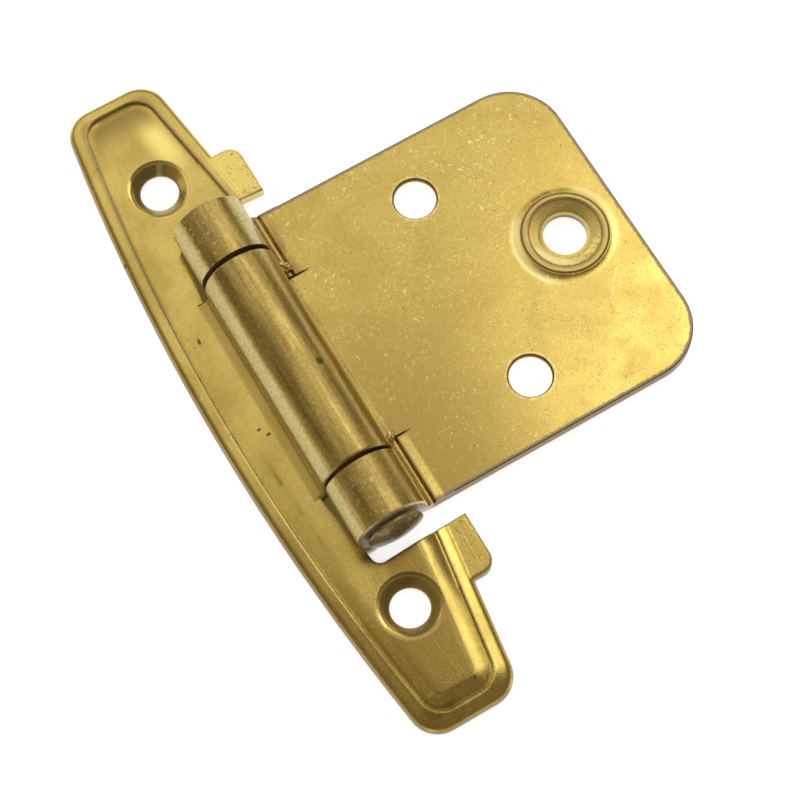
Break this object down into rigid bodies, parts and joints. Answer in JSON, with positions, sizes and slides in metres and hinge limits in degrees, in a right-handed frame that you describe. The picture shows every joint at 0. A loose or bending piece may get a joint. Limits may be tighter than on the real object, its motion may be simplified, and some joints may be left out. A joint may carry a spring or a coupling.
{
  "type": "cabinet hinge",
  "caption": "Face-mount cabinet hinge: a boat-shaped frame leaf and a flat rectangular door leaf turn on a pinned barrel, with countersunk screw holes.",
  "frame": {"origin": "middle of the frame leaf's two screw holes, on the mounting plane behind the leaf", "axes": "+X from the frame leaf to the door leaf, +Y along the barrel away from the pin's head, +Z out of the mounting plane"},
  "size_m": [0.0442, 0.07, 0.0076],
  "materials": {
    "frame_plating": "satin brass plating on pressed steel sheet",
    "door_plating": "worn satin brass plating on steel sheet",
    "pin_plating": "dull brass plating on a steel pin"
  },
  "bodies": {
    "frame": {"face_leaf": "frame_plating"},
    "door": {"door_leaf": "door_plating", "hinge_pin": "pin_plating"}
  },
  "joints": [
    {"name": "door_swing", "type": "hinge", "parent": "frame", "child": "door", "pos_m": [0.0021, 0, 0.004], "axis": [0, -1, 0], "range_deg": [0, 180]}
  ]
}
